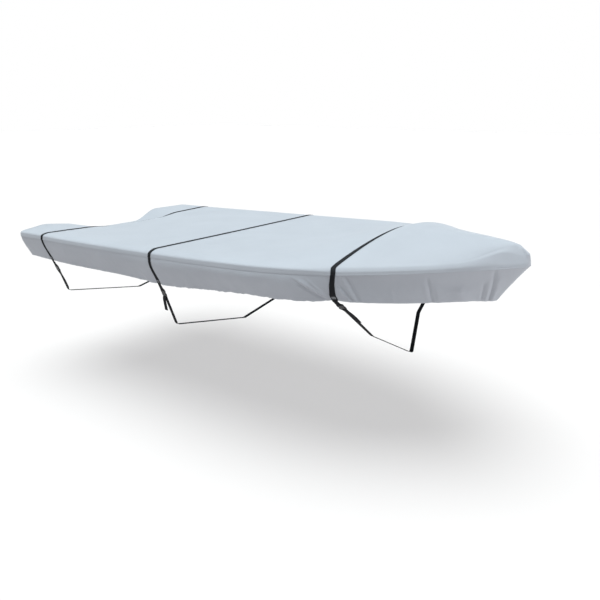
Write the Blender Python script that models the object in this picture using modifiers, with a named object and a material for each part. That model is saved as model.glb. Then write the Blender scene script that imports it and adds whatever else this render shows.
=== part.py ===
"""Fitted boat cover in its drawn-on shape: a hollow shell of cloth, and three straps that close in
loops below it.

Lengths are in metres. In the cover's own frame x runs from the stern edge (0) to the nose, y from
starboard (negative) to port, and z is measured from the level of the stern corners. The function
`placed` moves that frame so that the world origin lies on the underside of the top, where the cover
is carried.
"""

import math
from collections import namedtuple

import bmesh
import bpy
from mathutils import Vector

# Cover, seen from above: the widest line of the cloth.
LENGTH = 3.80
HALF_BEAM = 0.912
STERN_HALF_BEAM = 0.896
STERN_TAPER = 1.60  # the sides draw in aft of this
NOSE_ROUNDING = 0.0205  # what the rounded nose takes off the sharp outline
OUTLINE_LENGTH = LENGTH + NOSE_ROUNDING
BOW_LENGTH = 1.5755  # from where the bow begins to curve in to the nose
BOW_POWER = 2.113

# Hem, seen from above.
HEM_LENGTH = 3.62
HEM_HALF_BEAM = 0.835
HEM_STERN_HALF_BEAM = 0.812
HEM_BOW_LENGTH = 1.30
HEM_BOW_POWER = 2.65
HEM_PULL_START = 3.10  # forward of this the skirt runs aft as it goes down
HEM_PULL_POWER = 2.5
HEM_STERN_X = 0.012
HEM_CORNER = 0.020

# Height of the top at its side edges, rising towards the bow.
EDGE_AT_STERN = 0.006
EDGE_SLOPE = 0.0335
EDGE_CURVE = 0.0008
SAG_REACH = 0.09  # how far in from the edge the sag reaches

# Sections of the cover at right angles to its length. sag and port_sag are how far the starboard
# and the port edge hang below their line, crown the rise of the centre line over it, fullness the
# power of the cross-section, shoulder the steep band just inside the edge, and hem the height of
# the lower edge.
Station = namedtuple("Station", "x sag port_sag crown fullness shoulder hem")
STATIONS = (
    Station(0.00, 0.008, 0.004, 0.008, 2.0, 0.000, -0.205),
    Station(0.40, 0.012, 0.007, -0.018, 2.0, 0.000, -0.205),
    Station(0.80, 0.015, 0.008, -0.008, 2.0, 0.000, -0.195),
    Station(1.30, 0.016, 0.008, 0.002, 2.0, 0.000, -0.182),
    Station(1.60, 0.016, 0.008, -0.002, 2.0, 0.000, -0.184),
    Station(2.00, 0.013, 0.008, 0.002, 1.9, 0.000, -0.152),
    Station(2.40, 0.006, 0.008, 0.020, 1.8, 0.000, -0.115),
    Station(2.75, 0.006, 0.010, 0.081, 1.7, 0.000, -0.102),
    Station(2.88, 0.005, 0.010, 0.100, 1.65, 0.000, -0.092),
    Station(2.95, 0.004, 0.008, 0.121, 1.6, 0.000, -0.088),
    Station(3.02, 0.003, 0.005, 0.145, 1.6, 0.000, -0.089),
    Station(3.10, 0.002, 0.002, 0.158, 1.64, 0.000, -0.092),
    Station(3.20, 0.001, 0.001, 0.137, 1.64, 0.000, -0.096),
    Station(3.36, 0.000, 0.000, 0.121, 1.64, 0.000, -0.102),
    Station(3.50, 0.000, 0.000, 0.108, 1.7, 0.006, -0.108),
    Station(3.56, 0.000, 0.000, 0.101, 1.8, 0.022, -0.112),
    Station(3.61, 0.000, 0.000, 0.096, 1.9, 0.044, -0.116),
    Station(3.65, 0.000, 0.000, 0.092, 1.9, 0.060, -0.120),
    Station(3.69, 0.000, 0.000, 0.086, 1.8, 0.070, -0.124),
    Station(3.74, 0.000, 0.000, 0.074, 1.6, 0.074, -0.128),
    Station(3.80, 0.000, 0.000, 0.020, 1.4, 0.020, -0.130),
)

# The dip in the top at the middle of the stern.
WELL_DEPTH = 0.090
WELL_MIDDLE = 0.024  # a little to port
WELL_HALF_FLOOR = 0.219
WELL_HALF_WIDTH = 0.488
WELL_REACH = 0.265  # how far forward it reaches
WELL_FADE = 4.0  # how steeply it ends there
NOTCH_HALF_WIDTH = 0.15
NOTCH_BLEND = 0.035
NOTCH_HEIGHT = 0.055  # the stern panel's hem is cut up by this

# Cloth and the way the panels meet.
CLOTH = 0.002
GAP = 0.0004  # between pieces that lie together
SEAM_GAP = 0.0007  # between the top panel's edge and a skirt
STRAP_GAP = 0.0006  # between the cloth and a strap
PANEL_END_GAP = 0.0007  # half the gap where two skirt panels meet
ROLL = 0.022  # radius of the bend from the top to the sides
FACET_LEAN = 0.048  # how far the nose's steep band leans in
FACET_SLOPE = 0.60  # its slope at the upper edge, to port
FACET_SLOPE_STARBOARD = 1.10
FACET_LIFT = 0.012  # the nose's upright band is taller by this
FACET_CORNER = 0.15  # how much sharper than a round bend its lower edge is
ROUND_WEIGHT = 0.7071  # of a round bend
SLOPE_PROBE = 0.010  # the top's slope is taken over this distance
FACET_START = 3.50
FACET_END = 3.74
SEAM_DROP = 0.038  # the top panel's lower edge, below the top
SEAM_TUCK = 0.004
LAP = 0.012  # the skirts' upper edge lies behind the top panel by this
SPINE_PULL = 0.16  # the ribs fan out at the nose from a point this far aft
SPINE_PULL_START = 3.30

# Straps.
STRAP_X = (0.323, 1.595, 2.954)
STRAP_WIDTH = 0.030
WEBBING = 0.0016
# Where each strap turns below the hem: at either side and at the bottom, with how far forward the
# bottom turn lies. tail is the length of the loose end, tail_shift how far it lies off along x, and
# tail_lift how far it stands off.
StrapRun = namedtuple("StrapRun", "turn_y turn_z bottom_z bottom_shift tail tail_shift tail_lift")
STRAP_RUNS = (
    StrapRun(0.709, -0.477, -0.600, 0.00, 0.150, 0.010, 0.004),
    StrapRun(0.701, -0.508, -0.640, 0.00, 0.115, -0.016, 0.012),
    StrapRun(0.304, -0.412, -0.588, 0.12, 0.170, 0.012, 0.003),
)
TURN_RADIUS = 0.030  # of the straps at those turns
HEM_CLEARANCE = 0.004  # the straps keep the skirt's line this far below the hem
SQUARE_DROP = 0.009  # below that the straps run square to their edges
BAR_DROP = 0.046  # from the clearance line to the buckle's upper bar
BAR_SPACING = 0.056
BAR_TURN = 0.0030  # radius of the webbing's inner face round a bar
BAR_HALF = 0.0019
SEWN_BACK = 0.034  # the doubled end reaches this far above the upper bar
SEWN_START = 0.018  # and lies flat from here up
PORT_LAP_START = 0.014
PORT_LAP_END = 0.080
BUCKLE_HALF_WIDTH = 0.0205
BUCKLE_HALF_DEPTH = 0.0052
BUCKLE_PLATE_HALF_DEPTH = 0.0018
BUCKLE_EDGE = 0.001  # the body is narrower than the plate by this at each side
BUCKLE_BEVEL = 0.0022
SLOT_HALF_WIDTH = 0.0158
SLOT_END = 0.0058
WINDOW_WALL = 0.0052  # the prongs show in a cut this deep in each side
WINDOW_START = 0.021
WINDOW_END = 0.036

# Main folds of the skirts. head and foot are their places along x at the seam and at the hem,
# start is how far down the skirt they begin (0 to 1), and depth is outward.
Fold = namedtuple("Fold", "head foot start width depth")
STARBOARD_FOLDS = (
    Fold(2.69, 2.89, 0.20, 0.020, 0.0060),
    Fold(2.80, 2.86, 0.35, 0.022, -0.0045),
    Fold(2.915, 3.03, 0.25, 0.016, 0.0055),
    Fold(3.00, 3.07, 0.10, 0.024, -0.0050),
    Fold(3.35, 3.44, 0.35, 0.030, -0.0060),
    Fold(3.60, 3.70, 0.35, 0.025, -0.0070),
    Fold(3.67, 3.75, 0.30, 0.020, 0.0050),
)
PORT_FOLDS = (
    Fold(2.60, 2.84, 0.25, 0.030, 0.0050),
    Fold(3.02, 3.10, 0.20, 0.030, -0.0055),
    Fold(3.31, 3.36, 0.35, 0.035, -0.0050),
    Fold(3.62, 3.70, 0.35, 0.030, -0.0060),
)
FOLD_FADE = 0.5  # share of the skirt's height over which a fold grows
STRAP_HOLD = 0.035  # the straps hold the folds down this near to them
RUFFLE_PITCH = 0.135  # the hem's drawn-up waves amidships
RUFFLE_SIZE = 0.0035
RUFFLE_TOP = 0.3  # share of the skirt's height where they begin
RUFFLE_AFT = (1.2, 1.5)  # where they grow and where they fade, along x
RUFFLE_FORE = (2.6, 2.9)

# Mesh steps.
STERN_STEP = 0.060
STERN_STEP_END = 0.43
SIDE_STEP = 0.115
BOW_STEP = 0.075
BOW_STEP_START = 2.75
ACROSS = 22
ROLL_STEPS = 4
SKIRT_ROWS = (0.18, 0.42, 0.66, 0.85, 1.0)
NOSE_FAN = 4
CORNER_FAN = 4
LOOP_STEPS = 6  # round each bar
TAIL_STEPS = 5
LINE_STEPS = 240
MERGE = 0.00002

MOUNT_X = 1.90
HOLLOW = Vector((MOUNT_X, 0, -0.3))  # a point of the hollow below the top
FAR_BELOW = -9.0

MATERIALS = {
    "cloth": ((0.62, 0.67, 0.72), 0.78, 0.0),
    "webbing": ((0.012, 0.012, 0.014), 0.72, 0.0),
    "buckle": ((0.015, 0.015, 0.017), 0.38, 0.0),
}


def clamp(value, low=0.0, high=1.0):
    return max(low, min(high, value))


def smooth(low, high, value):
    """0 up to low, 1 from high on, and a soft step between."""
    t = clamp((value - low) / (high - low))
    return t * t * (3 - 2 * t)


def station_value(column, x):
    """A column of STATIONS at x, on a smooth curve through its rows."""
    rows = STATIONS
    x = clamp(x, rows[0].x, rows[-1].x)
    i = max(k for k in range(len(rows) - 1) if rows[k].x <= x)
    xs = [r.x for r in rows]
    vs = [getattr(r, column) for r in rows]

    def slope(k):
        if k in (0, len(rows) - 1):
            return 0.0
        before = (vs[k] - vs[k - 1]) / (xs[k] - xs[k - 1])
        after = (vs[k + 1] - vs[k]) / (xs[k + 1] - xs[k])
        return 0.0 if before * after <= 0 else 2 * before * after / (before + after)

    h = xs[i + 1] - xs[i]
    t = (x - xs[i]) / h
    keep = (1 + 2 * t) * (1 - t) ** 2 * vs[i] + t * t * (3 - 2 * t) * vs[i + 1]
    return keep + h * (t * (1 - t) ** 2 * slope(i) - t * t * (1 - t) * slope(i + 1))


def half_beam(x):
    """Half breadth of the cover's widest line at x."""
    bow = clamp(1 - (OUTLINE_LENGTH - x) / BOW_LENGTH)
    stern = clamp(1 - x / STERN_TAPER)
    return HALF_BEAM * (1 - bow**BOW_POWER) - (HALF_BEAM - STERN_HALF_BEAM) * stern**2


def hem_half_beam(x):
    bow = clamp(1 - (HEM_LENGTH - x) / HEM_BOW_LENGTH)
    stern = clamp(1 - x / STERN_TAPER)
    narrowing = (HEM_HALF_BEAM - HEM_STERN_HALF_BEAM) * stern**2
    return HEM_HALF_BEAM * (1 - bow**HEM_BOW_POWER) - narrowing


def edge_line(x):
    return EDGE_AT_STERN + EDGE_SLOPE * x + EDGE_CURVE * x * x


def edge_sag(x, side):
    return station_value("sag" if side < 0 else "port_sag", x)


def edge_offset(x):
    """How far inside the widest line the flat of the top begins."""
    return ROLL + FACET_LEAN * smooth(FACET_START, FACET_END, x)


def outward(x):
    """Unit direction square to the port outline at x, pointing outward."""
    step = 0.001
    slope = (half_beam(x + step) - half_beam(x - step)) / (2 * step)
    return Vector((-slope, 1.0)).normalized()


def inner_point(x):
    """The point of the port inner line that belongs to the outline's point at x."""
    return Vector((x, half_beam(x))) - outward(x) * edge_offset(x)


def nose_station():
    """The outline's x whose inner point falls on the centre line."""
    low, high = FACET_END, OUTLINE_LENGTH
    for _ in range(40):
        middle = (low + high) / 2
        if inner_point(middle).y > 0:
            low = middle
        else:
            high = middle
    return low


NOSE_X = nose_station()
TIP_X = inner_point(NOSE_X).x
INNER_LINE = [
    inner_point(ROLL + (NOSE_X - ROLL) * k / LINE_STEPS) for k in range(LINE_STEPS + 1)
]


def inner_half_beam(x):
    """Half breadth of the inner line at x."""
    if x <= INNER_LINE[0].x:
        return INNER_LINE[0].y
    for before, after in zip(INNER_LINE, INNER_LINE[1:]):
        if x <= after.x:
            t = (x - before.x) / max(after.x - before.x, 1e-9)
            return before.y + (after.y - before.y) * t
    return 0.0


def well(x, y):
    """Depth of the dip at the stern."""
    across = 1 - smooth(WELL_HALF_FLOOR, WELL_HALF_WIDTH, abs(y - WELL_MIDDLE))
    return WELL_DEPTH * across * math.exp(-((max(x - ROLL, 0.0) / WELL_REACH) ** WELL_FADE))


def top_height(x, y):
    """Height of the top panel's outer face."""
    half = max(inner_half_beam(x), 1e-6)
    shoulder = station_value("shoulder", x)
    rise = station_value("crown", x) - shoulder
    across = clamp(abs(y) / half) ** station_value("fullness", x)
    height = edge_line(x) + shoulder + rise * (1 - across) - well(x, y)
    near_edge = clamp(1 - (half - abs(y)) / SAG_REACH)
    return height - edge_sag(x, y) * near_edge**2


def side_stations():
    """Places along the outline of the ribs, with one at each edge of each strap."""
    straps = [x + side * STRAP_WIDTH / 2 for x in STRAP_X for side in (-1, 1)]
    plain = []
    x = ROLL
    while x < NOSE_X - BOW_STEP / 3:
        plain.append(x)
        if x < STERN_STEP_END:
            x += STERN_STEP
        else:
            x += SIDE_STEP if x < BOW_STEP_START else BOW_STEP
    clear = [p for p in plain if all(abs(p - s) > STERN_STEP / 3 for s in straps)]
    return sorted(clear + straps + [NOSE_X])


# One place on the cover's rim: the inner line's point, the direction out from it, how far out the
# widest line is, the top edge's height there, the hem's point and its place along the outline.
Rim = namedtuple("Rim", "inner out offset edge hem station")


def hem_on_side(x, side):
    """The hem's point under the outline's point at x. side is 1 to port and -1 to starboard."""
    pull = clamp((x - HEM_PULL_START) / (LENGTH - HEM_PULL_START))
    hem_x = x - (LENGTH - HEM_LENGTH) * pull**HEM_PULL_POWER
    hem_x = max(hem_x, HEM_STERN_X + HEM_CORNER)
    return Vector((hem_x, side * hem_half_beam(hem_x), station_value("hem", x)))


def side_rim(x, side):
    inner = inner_point(x)
    if x <= ROLL:
        inner.x = ROLL
    out = outward(x)
    return Rim(
        Vector((inner.x, side * inner.y)),
        Vector((out.x, side * out.y)),
        edge_offset(x),
        edge_line(inner.x) - edge_sag(inner.x, side),
        hem_on_side(x, side),
        x,
    )


def nose_fan():
    """Rim places round the nose between the two sides, starboard first."""
    last = side_rim(NOSE_X, -1)
    start = math.atan2(last.out.y, last.out.x)
    fan = []
    for k in range(1, 2 * NOSE_FAN):
        turn = start * (1 - k / NOSE_FAN)
        out = Vector((math.cos(turn), math.sin(turn)))
        share = k / NOSE_FAN - 1
        hem_x = last.hem.x + (HEM_LENGTH - last.hem.x) * (1 - share**2)
        hem = Vector((hem_x, -last.hem.y * share, last.hem.z))
        fan.append(Rim(Vector((TIP_X, 0)), out, last.offset, last.edge, hem, NOSE_X))
    return fan


def corner_fan(side):
    """Rim places round a stern corner, from the side to the stern."""
    first = side_rim(ROLL, side)
    fan = []
    for k in range(1, CORNER_FAN):
        turn = math.pi / 2 * k / CORNER_FAN
        out = Vector((-math.sin(turn), side * math.cos(turn)))
        centre = Vector((first.hem.x, first.hem.y - side * HEM_CORNER))
        hem = centre + out * HEM_CORNER
        fan.append(Rim(first.inner, out, ROLL, first.edge, Vector((*hem, first.hem.z)), ROLL))
    return fan


def stern_rim(share):
    """A rim place on the stern, share from -1 (starboard) to 1 (port)."""
    half = inner_point(ROLL).y
    y = half * share
    hem_y = (HEM_STERN_HALF_BEAM - HEM_CORNER) * share
    notch = 1 - smooth(NOTCH_HALF_WIDTH - NOTCH_BLEND, NOTCH_HALF_WIDTH + NOTCH_BLEND, abs(y))
    hem = Vector((HEM_STERN_X, hem_y, STATIONS[0].hem + NOTCH_HEIGHT * notch))
    height = top_height(ROLL, y)
    return Rim(Vector((ROLL, y)), Vector((-1, 0)), ROLL, height, hem, 0.0)


def rim_level(rim):
    """Height of the top panel at the rim's inner line."""
    return top_height(rim.inner.x, rim.inner.y)


def rim_point(rim, distance, height):
    flat = rim.inner + rim.out * distance
    return Vector((flat.x, flat.y, height))


def edge_profile(rim):
    """The top panel's bend at the rim, from its seam edge up to the inner line."""
    level = rim_level(rim)
    belly = min(rim.edge, level) - ROLL
    lean = (rim.offset - ROLL) / FACET_LEAN
    behind = rim.inner - rim.out * SLOPE_PROBE
    slope = clamp((top_height(behind.x, behind.y) - level) / SLOPE_PROBE)
    steeper = (FACET_SLOPE_STARBOARD - FACET_SLOPE) * smooth(-0.5, 0.6, -rim.out.y)
    slope += (FACET_SLOPE + steeper - slope) * lean**3
    belly += FACET_LIFT * lean**2
    corner = max(level - slope * rim.offset, belly)
    weight = ROUND_WEIGHT + FACET_CORNER * lean
    points = [rim_point(rim, rim.offset - SEAM_TUCK, rim.edge - SEAM_DROP)]
    for k in range(ROLL_STEPS + 1):
        t = k / ROLL_STEPS
        low, mid, high = (1 - t) ** 2, 2 * weight * t * (1 - t), t * t
        total = low + mid + high
        distance = (low + mid) / total * rim.offset
        height = (low * belly + mid * corner + high * level) / total
        points.append(rim_point(rim, distance, height))
    return points


def fold_offset(folds, station, down):
    """How far the folds push the skirt out at a place along the outline, down 0 to 1."""
    push = 0.0
    for fold in folds:
        centre = fold.head + (fold.foot - fold.head) * down
        near = math.exp(-(((station - centre) / fold.width) ** 2))
        push += fold.depth * near * smooth(fold.start, min(fold.start + FOLD_FADE, 1.0), down)
    amid = smooth(*RUFFLE_AFT, station) * (1 - smooth(*RUFFLE_FORE, station))
    wave = math.sin(2 * math.pi * station / RUFFLE_PITCH)
    push += RUFFLE_SIZE * amid * wave * smooth(RUFFLE_TOP, 1.0, down)
    for strap in STRAP_X:
        push *= 1 - math.exp(-(((station - strap) / STRAP_HOLD) ** 4))
    return push


def skirt_profile(rim, folds):
    """A skirt from its upper edge, behind the top panel, down to the hem."""
    seam = rim.edge - SEAM_DROP
    behind = CLOTH + SEAM_GAP
    points = [
        rim_point(rim, rim.offset - SEAM_TUCK - behind, seam + LAP),
        rim_point(rim, rim.offset - SEAM_TUCK - behind, seam),
    ]
    head = points[-1]
    for down in SKIRT_ROWS:
        point = head.lerp(rim.hem, down)
        push = fold_offset(folds, rim.station, down)
        points.append(point + Vector((rim.out.x, rim.out.y, 0)) * push)
    return points


def placed(point):
    """From the cover's own frame to the world's, whose origin is the mount under the top."""
    return point - Vector((MOUNT_X, 0, MOUNT_Z))


MOUNT_Z = top_height(MOUNT_X, 0) - CLOTH


def material(name):
    made = bpy.data.materials.get(name)
    if made:
        return made
    colour, roughness, metallic = MATERIALS[name]
    made = bpy.data.materials.new(name)
    made.use_nodes = True
    shader = made.node_tree.nodes["Principled BSDF"]
    shader.inputs["Base Color"].default_value = (*colour, 1)
    shader.inputs["Roughness"].default_value = roughness
    shader.inputs["Metallic"].default_value = metallic
    made.diffuse_color = (*colour, 1)
    return made


def loft(mesh, sections):
    """Quads between each section and the next, all with the same number of points."""
    rows = [[mesh.verts.new(placed(point)) for point in section] for section in sections]
    for one, two in zip(rows, rows[1:]):
        for k in range(len(one) - 1):
            mesh.faces.new((one[k], one[k + 1], two[k + 1], two[k]))


def sheet_object(name, mesh, thickness, offset, slot, inside):
    """An object of an open surface with a thickness. inside is a point on its hollow side."""
    bmesh.ops.remove_doubles(mesh, verts=mesh.verts, dist=MERGE)
    bmesh.ops.dissolve_degenerate(mesh, edges=mesh.edges, dist=MERGE)
    bmesh.ops.recalc_face_normals(mesh, faces=mesh.faces)
    facing = sum(
        face.normal.dot(face.calc_center_median() - inside) * face.calc_area()
        for face in mesh.faces
    )
    if facing < 0:
        bmesh.ops.reverse_faces(mesh, faces=mesh.faces)
    data = bpy.data.meshes.new(name)
    mesh.to_mesh(data)
    mesh.free()
    data.shade_smooth()
    made = bpy.data.objects.new(name, data)
    data.materials.append(material(slot))
    shell = made.modifiers.new("thickness", "SOLIDIFY")
    shell.thickness = thickness
    shell.offset = offset
    return made


def build_top_panel(stations):
    """The top: ribs from side to side, and a strip round them that bends down to the seam."""
    mesh = bmesh.new()
    ribs = []
    for x in stations:
        inner = side_rim(x, 1).inner
        pull = clamp((inner.x - SPINE_PULL_START) / (TIP_X - SPINE_PULL_START))
        spine_x = inner.x - SPINE_PULL * pull**3
        rib = []
        for k in range(-ACROSS // 2, ACROSS // 2 + 1):
            share = 2 * k / ACROSS
            point_x = spine_x + (inner.x - spine_x) * abs(share)
            point_y = inner.y * share
            rib.append(Vector((point_x, point_y, top_height(point_x, point_y))))
        ribs.append(rib)
    loft(mesh, ribs)
    strip = [edge_profile(rim) for rim in whole_rim(stations)]
    loft(mesh, strip + strip[:1])
    return sheet_object("top_panel", mesh, CLOTH, -1, "cloth", placed(HOLLOW))


def stern_places():
    return [2 * k / ACROSS for k in range(-ACROSS // 2, ACROSS // 2 + 1)]


def whole_rim(stations):
    """Every rim place in order: starboard side, nose, port side, stern."""
    starboard = [side_rim(x, -1) for x in stations]
    port = [side_rim(x, 1) for x in reversed(stations)]
    stern = [stern_rim(share) for share in reversed(stern_places())]
    return [
        *starboard,
        *nose_fan(),
        *port,
        *corner_fan(1),
        *stern,
        *reversed(corner_fan(-1)),
    ]


def drawn_in(points, direction):
    """A panel's end section, moved back from the joint with the next panel."""
    return [point + direction * PANEL_END_GAP for point in points]


def build_skirt(name, side, stations, folds):
    """A side skirt from the middle of its stern corner to the middle of the nose."""
    corner = corner_fan(side)[: CORNER_FAN // 2]
    nose = nose_fan() if side < 0 else nose_fan()[::-1]
    rims = [*reversed(corner), *(side_rim(x, side) for x in stations), *nose[:NOSE_FAN]]
    sections = [skirt_profile(rim, folds) for rim in rims]
    sections[0] = drawn_in(sections[0], Vector((1, side, 0)).normalized())
    sections[-1] = drawn_in(sections[-1], Vector((0, side, 0)))
    mesh = bmesh.new()
    loft(mesh, sections)
    return sheet_object(name, mesh, CLOTH, -1, "cloth", placed(HOLLOW))


def build_stern_panel():
    """The panel across the stern, cut up in the middle of its hem."""
    port = corner_fan(1)[CORNER_FAN // 2 - 1 :]
    starboard = corner_fan(-1)[CORNER_FAN // 2 - 1 :]
    rims = [*port, *(stern_rim(share) for share in reversed(stern_places())), *reversed(starboard)]
    sections = [skirt_profile(rim, ()) for rim in rims]
    sections[0] = drawn_in(sections[0], Vector((-1, -1, 0)).normalized())
    sections[-1] = drawn_in(sections[-1], Vector((-1, 1, 0)).normalized())
    mesh = bmesh.new()
    loft(mesh, sections)
    return sheet_object("stern_panel", mesh, CLOTH, -1, "cloth", placed(HOLLOW))


def surface_line(x, side):
    """Points of the cover's outer face at a strap's edge, from the hem to the centre line."""
    rim = side_rim(x, side)
    folds = STARBOARD_FOLDS if side < 0 else PORT_FOLDS
    skirt = skirt_profile(rim, folds)[2:]
    edge = edge_profile(rim)
    inner = rim.inner
    rib = []
    for k in range(ACROSS // 2):
        share = 2 * k / ACROSS
        rib.append(Vector((inner.x, inner.y * share, top_height(inner.x, inner.y * share))))
    return list(reversed(skirt)) + edge + list(reversed(rib))


def lifted(pairs, lift):
    """A strip's pairs of edge points moved off the surface, square to the strip."""
    moved = []
    for k, (one, two) in enumerate(pairs):
        before = pairs[max(k - 1, 0)]
        after = pairs[min(k + 1, len(pairs) - 1)]
        along = (after[0] + after[1] - before[0] - before[1]).normalized()
        normal = (two - one).cross(along).normalized()
        moved.append((one + normal * lift, two + normal * lift))
    return moved


# The end of a strap's run over the cover: its pair of edge points and their middle, the way down to
# its next turn, the way across the strap and the way out.
StrapEnd = namedtuple("StrapEnd", "pair middle down across out")


def strap_end(pairs, run):
    """The end beside the first pair, just below the hem."""
    hem, above = pairs[0], pairs[1]
    along = (hem[0] + hem[1] - above[0] - above[1]).normalized() * HEM_CLEARANCE
    one, two = hem[0] + along, hem[1] + along
    side = math.copysign(1, one.y)
    middle = (one + two) / 2
    down = (Vector((middle.x, side * run.turn_y, run.turn_z)) - middle).normalized()
    across = (two - one) - down * down.dot(two - one)
    across.normalize()
    out = across.cross(down)
    if out.y * side < 0:
        out.negate()
    return StrapEnd((one, two), middle, down, across, out)


def end_pair(end, down, out):
    """A pair of edge points below a strap's end."""
    middle = end.middle + end.down * down + end.out * out
    return middle - end.across * STRAP_WIDTH / 2, middle + end.across * STRAP_WIDTH / 2


def build_strap_top(number, pairs, starboard, port):
    """The sewn run over the cover, looped round the buckle's upper bar to starboard."""
    loop = []
    for k in range(LOOP_STEPS + 1):
        turn = math.pi * (k / LOOP_STEPS)
        drop = BAR_DROP + BAR_TURN * math.sin(turn)
        loop.append(end_pair(starboard, drop, -BAR_TURN * (1 - math.cos(turn))))
    back = [
        end_pair(starboard, BAR_DROP - SEWN_START, -SEAM_GAP),
        end_pair(starboard, BAR_DROP - SEWN_BACK, -SEAM_GAP),
    ]
    flat = end_pair(starboard, SQUARE_DROP, 0.0)
    start = list(reversed(back)) + list(reversed(loop)) + [flat, starboard.pair]
    finish = [port.pair, end_pair(port, SQUARE_DROP, 0.0), end_pair(port, PORT_LAP_END, 0.0)]
    mesh = bmesh.new()
    loft(mesh, [list(pair) for pair in start + pairs + finish])
    name = f"strap_{number}_top"
    return sheet_object(name, mesh, WEBBING, 1, "webbing", placed(HOLLOW))


def rounded_run(points, radius, steps=4):
    """A path in the y-z plane with its inner corners rounded."""
    path = [points[0]]
    for before, corner, after in zip(points, points[1:], points[2:]):
        one = (before - corner).normalized()
        two = (after - corner).normalized()
        half = one.angle(two) / 2
        reach = radius / math.tan(half)
        centre = corner + (one + two).normalized() * (radius / math.sin(half))
        start, end = corner + one * reach, corner + two * reach
        for k in range(steps + 1):
            chord = start.lerp(end, k / steps)
            path.append(centre + (chord - centre).normalized() * radius)
    path.append(points[-1])
    return path


def build_strap_belly(number, starboard, port):
    """The run below the cover: sewn behind the port end, through the buckle, and its loose tail."""
    run = STRAP_RUNS[number - 1]
    low = BAR_DROP + BAR_SPACING
    port_end = end_pair(port, PORT_LAP_END + SQUARE_DROP, -GAP)
    below_bar = end_pair(starboard, low + SQUARE_DROP, -2 * BAR_TURN)
    edges = []
    for k in (0, 1):
        x = port_end[k].x
        corners = [
            port_end[k],
            Vector((x, run.turn_y, run.turn_z)),
            Vector((x + run.bottom_shift, 0, run.bottom_z)),
            Vector((x, -run.turn_y, run.turn_z)),
            below_bar[k],
        ]
        edges.append(rounded_run(corners, TURN_RADIUS))
    pairs = [end_pair(port, PORT_LAP_START, -GAP), *zip(*edges)]
    for k in range(LOOP_STEPS + 1):
        turn = math.pi * (k / LOOP_STEPS)
        drop = low - BAR_TURN * math.sin(turn)
        pairs.append(end_pair(starboard, drop, -BAR_TURN * (1 + math.cos(turn))))
    for k in range(1, TAIL_STEPS + 1):
        share = k / TAIL_STEPS
        move = starboard.down * (run.tail * share) + starboard.out * (run.tail_lift * share**2)
        move += Vector((run.tail_shift * share**1.5, 0, 0))
        pairs.append(tuple(point + move for point in end_pair(starboard, low, 0.0)))
    mesh = bmesh.new()
    loft(mesh, [list(pair) for pair in pairs])
    name = f"strap_{number}_belly"
    below = placed(Vector((STRAP_X[number - 1], 0, FAR_BELOW)))
    return sheet_object(name, mesh, WEBBING, 1, "webbing", below)


def box(name, low, high, collection):
    """A box between two corners (across, down, out) in a buckle's own frame, whose y is up."""
    size = [abs(h - l) for l, h in zip(low, high)]
    middle = [(l + h) / 2 for l, h in zip(low, high)]
    middle[1] = -middle[1]
    mesh = bmesh.new()
    bmesh.ops.create_cube(mesh, size=1)
    bmesh.ops.scale(mesh, vec=size, verts=mesh.verts)
    bmesh.ops.translate(mesh, vec=middle, verts=mesh.verts)
    data = bpy.data.meshes.new(name)
    mesh.to_mesh(data)
    mesh.free()
    made = bpy.data.objects.new(name, data)
    collection.objects.link(made)
    return made


def build_buckle(number, starboard, parts, cutters):
    """A side-release buckle: a plate with a slot at each end, and a thicker body between them.

    Its corners are given across the strap, down it and out, from the upper bar.
    """
    wide, deep, thin = BUCKLE_HALF_WIDTH, BUCKLE_HALF_DEPTH, BUCKLE_PLATE_HALF_DEPTH
    buckle = box(
        f"buckle_{number}",
        (-wide, -BAR_HALF, -thin),
        (wide, BAR_SPACING + BAR_HALF, thin),
        parts,
    )
    body = box(
        f"buckle_{number}_body",
        (-wide + BUCKLE_EDGE, SLOT_END + BUCKLE_EDGE, -deep),
        (wide - BUCKLE_EDGE, BAR_SPACING - SLOT_END - BUCKLE_EDGE, deep),
        cutters,
    )
    bevel = body.modifiers.new("rounded", "BEVEL")
    bevel.width = BUCKLE_BEVEL
    bevel.segments = 2
    bevel.limit_method = "ANGLE"
    tools = [(body, "UNION")]
    slots = ((BAR_HALF, SLOT_END), (BAR_SPACING - SLOT_END, BAR_SPACING - BAR_HALF))
    for k, (start, end) in enumerate(slots):
        slot = box(
            f"buckle_{number}_slot_{k}",
            (-SLOT_HALF_WIDTH, start, -2 * deep),
            (SLOT_HALF_WIDTH, end, 2 * deep),
            cutters,
        )
        tools.append((slot, "DIFFERENCE"))
    for k, side in enumerate((-1, 1)):
        near, far = wide - WINDOW_WALL, wide + WINDOW_WALL
        window = box(
            f"buckle_{number}_window_{k}",
            (min(side * near, side * far), WINDOW_START, -2 * deep),
            (max(side * near, side * far), WINDOW_END, 2 * deep),
            cutters,
        )
        tools.append((window, "DIFFERENCE"))
    across, out = starboard.across, starboard.out
    centre = placed(starboard.middle + starboard.down * BAR_DROP - out * BAR_TURN)
    for piece in [buckle] + [tool for tool, _ in tools]:
        for vertex in piece.data.vertices:
            local = vertex.co.copy()
            vertex.co = across * local.x - starboard.down * local.y + out * local.z
        piece.location = centre
    for k, (tool, operation) in enumerate(tools):
        tool.hide_render = True
        tool.display_type = "WIRE"
        cut = buckle.modifiers.new(f"shape_{k}", "BOOLEAN")
        cut.operation = operation
        cut.solver = "EXACT"
        cut.object = tool
    buckle.data.materials.append(material("buckle"))
    return buckle


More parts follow.
